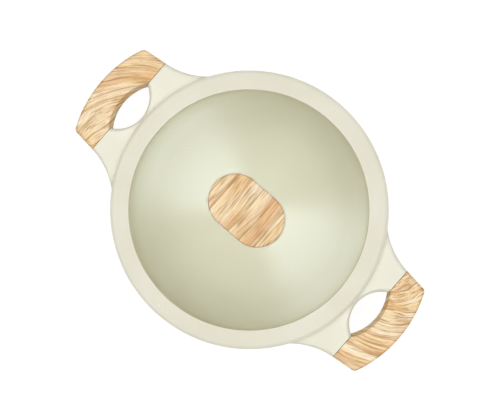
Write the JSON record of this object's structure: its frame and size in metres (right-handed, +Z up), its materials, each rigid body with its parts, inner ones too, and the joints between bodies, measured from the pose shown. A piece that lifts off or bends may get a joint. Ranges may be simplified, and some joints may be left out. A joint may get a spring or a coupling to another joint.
{
  "type": "casserole pot with glass lid",
  "caption": "Round cast pot with side handles in wood-look grips and a lift-off glass lid with a silicone rim and an oblong knob.",
  "frame": {"origin": "centre of the underside, on the surface that the pot stands on", "axes": "+Z up along the pot's axis, +X along the two handles"},
  "size_m": [0.3604, 0.254, 0.1645],
  "materials": {
    "ceramic_coated_body": "cast aluminium under a satin cream ceramic coating",
    "base_steel": "turned, satin",
    "wood_look": "phenolic with a pale ash grain pattern, satin",
    "fastener_steel": "stainless, satin",
    "tempered_glass": "clear, polished",
    "silicone": "cream silicone, matt",
    "knob_plastic": "cream phenolic, satin",
    "insert_brass": "turned"
  },
  "bodies": {
    "pot": {"pot_body": "ceramic_coated_body", "base_disc": "base_steel", "grip_left": "wood_look", "grip_right": "wood_look", "grip_screw_left_front": "fastener_steel", "grip_screw_left_back": "fastener_steel", "grip_screw_right_front": "fastener_steel", "grip_screw_right_back": "fastener_steel", "grip_washer_left_front": "fastener_steel", "grip_washer_left_back": "fastener_steel", "grip_washer_right_front": "fastener_steel", "grip_washer_right_back": "fastener_steel"},
    "lid": {"lid_glass": "tempered_glass", "lid_rim": "silicone", "lid_bush": "silicone", "knob_gasket": "silicone", "knob_base": "knob_plastic", "knob_plate": "wood_look", "knob_insert": "insert_brass", "knob_screw": "fastener_steel", "knob_washer": "fastener_steel", "knob_spring_washer": "fastener_steel", "plate_screw_left": "fastener_steel", "plate_screw_right": "fastener_steel"}
  },
  "joints": [
    {"name": "lid_lift", "type": "slide", "parent": "pot", "child": "lid", "axis": [0, 0, 1], "range_m": [0, 0.12]}
  ]
}
